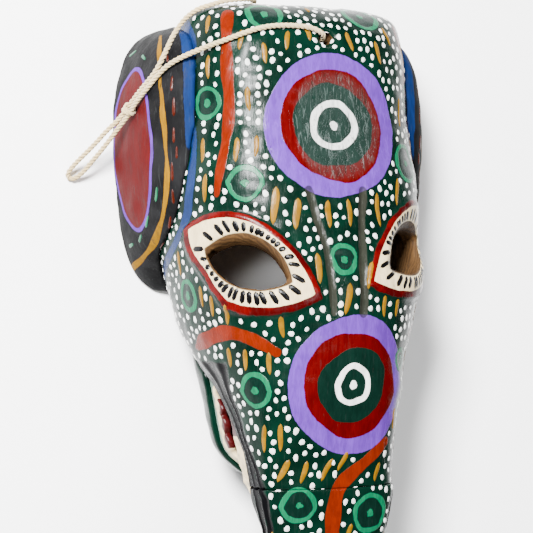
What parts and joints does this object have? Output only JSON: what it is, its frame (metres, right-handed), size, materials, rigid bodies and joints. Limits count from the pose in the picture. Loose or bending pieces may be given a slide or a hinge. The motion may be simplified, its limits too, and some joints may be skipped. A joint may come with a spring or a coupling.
{
  "type": "folk art animal mask",
  "caption": "Carved and painted wooden dog mask with a long muzzle, open eyes, flat side ears, toothed jaws and a cotton hanging cord.",
  "frame": {"origin": "middle of the mask's plan outline, on the plane that its back rim and ears rest on", "axes": "+Y runs to the crown and -Y to the nose, +Z points out of the face, +X is the wearer's left"},
  "size_m": [0.2376, 0.3747, 0.142],
  "materials": {
    "painted_head": "gloss",
    "painted_ears": "satin",
    "painted_teeth": "satin",
    "painted_tongue": "satin",
    "bare_pegs": "matte",
    "cotton_cord": "matte"
  },
  "bodies": {
    "mask": {"head_shell": "painted_head", "nose_block": "painted_head", "lower_jaw": "painted_head", "left_ear": "painted_ears", "right_ear": "painted_ears", "tongue": "painted_tongue", "upper_teeth_left": "painted_teeth", "upper_teeth_right": "painted_teeth", "lower_teeth": "painted_teeth", "hanging_cord": "cotton_cord", "cord_knot": "cotton_cord", "ear_pegs": "bare_pegs", "nose_pegs": "bare_pegs", "jaw_pegs": "bare_pegs"}
  },
  "joints": []
}
